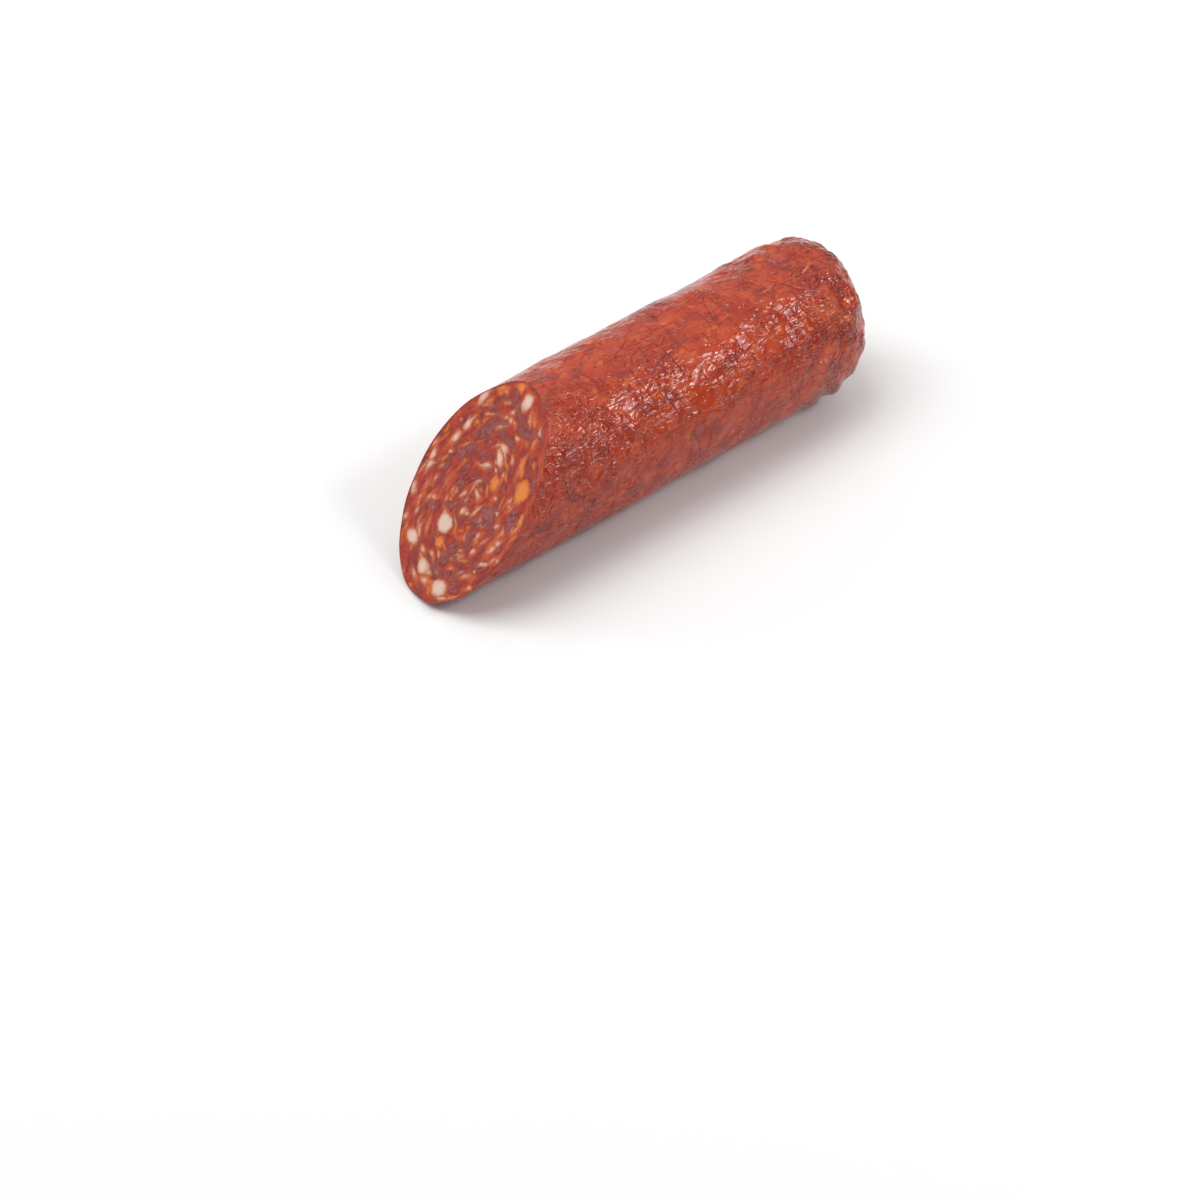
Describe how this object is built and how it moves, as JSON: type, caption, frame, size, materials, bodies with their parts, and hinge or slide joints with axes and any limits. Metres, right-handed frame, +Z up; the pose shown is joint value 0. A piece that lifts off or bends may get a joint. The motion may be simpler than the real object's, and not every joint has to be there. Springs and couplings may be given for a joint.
{
  "type": "cured sausage",
  "caption": "Thick stick of chorizo-type cured sausage lying on its side, cut off at a slant at one end and blunt and closed at the other.",
  "frame": {"origin": "under the middle of the bounding box, on the surface that the stick lies on", "axes": "+X along the stick from the slanted cut to the closed end, +Y across it, +Z up"},
  "size_m": [0.259, 0.076, 0.0742],
  "materials": {
    "casing": "oily, wrinkled sausage casing, satin to glossy",
    "cut_meat": "moist cut of coarse cured meat with white and orange fat"
  },
  "bodies": {
    "root": {"sausage": "casing"}
  },
  "joints": []
}
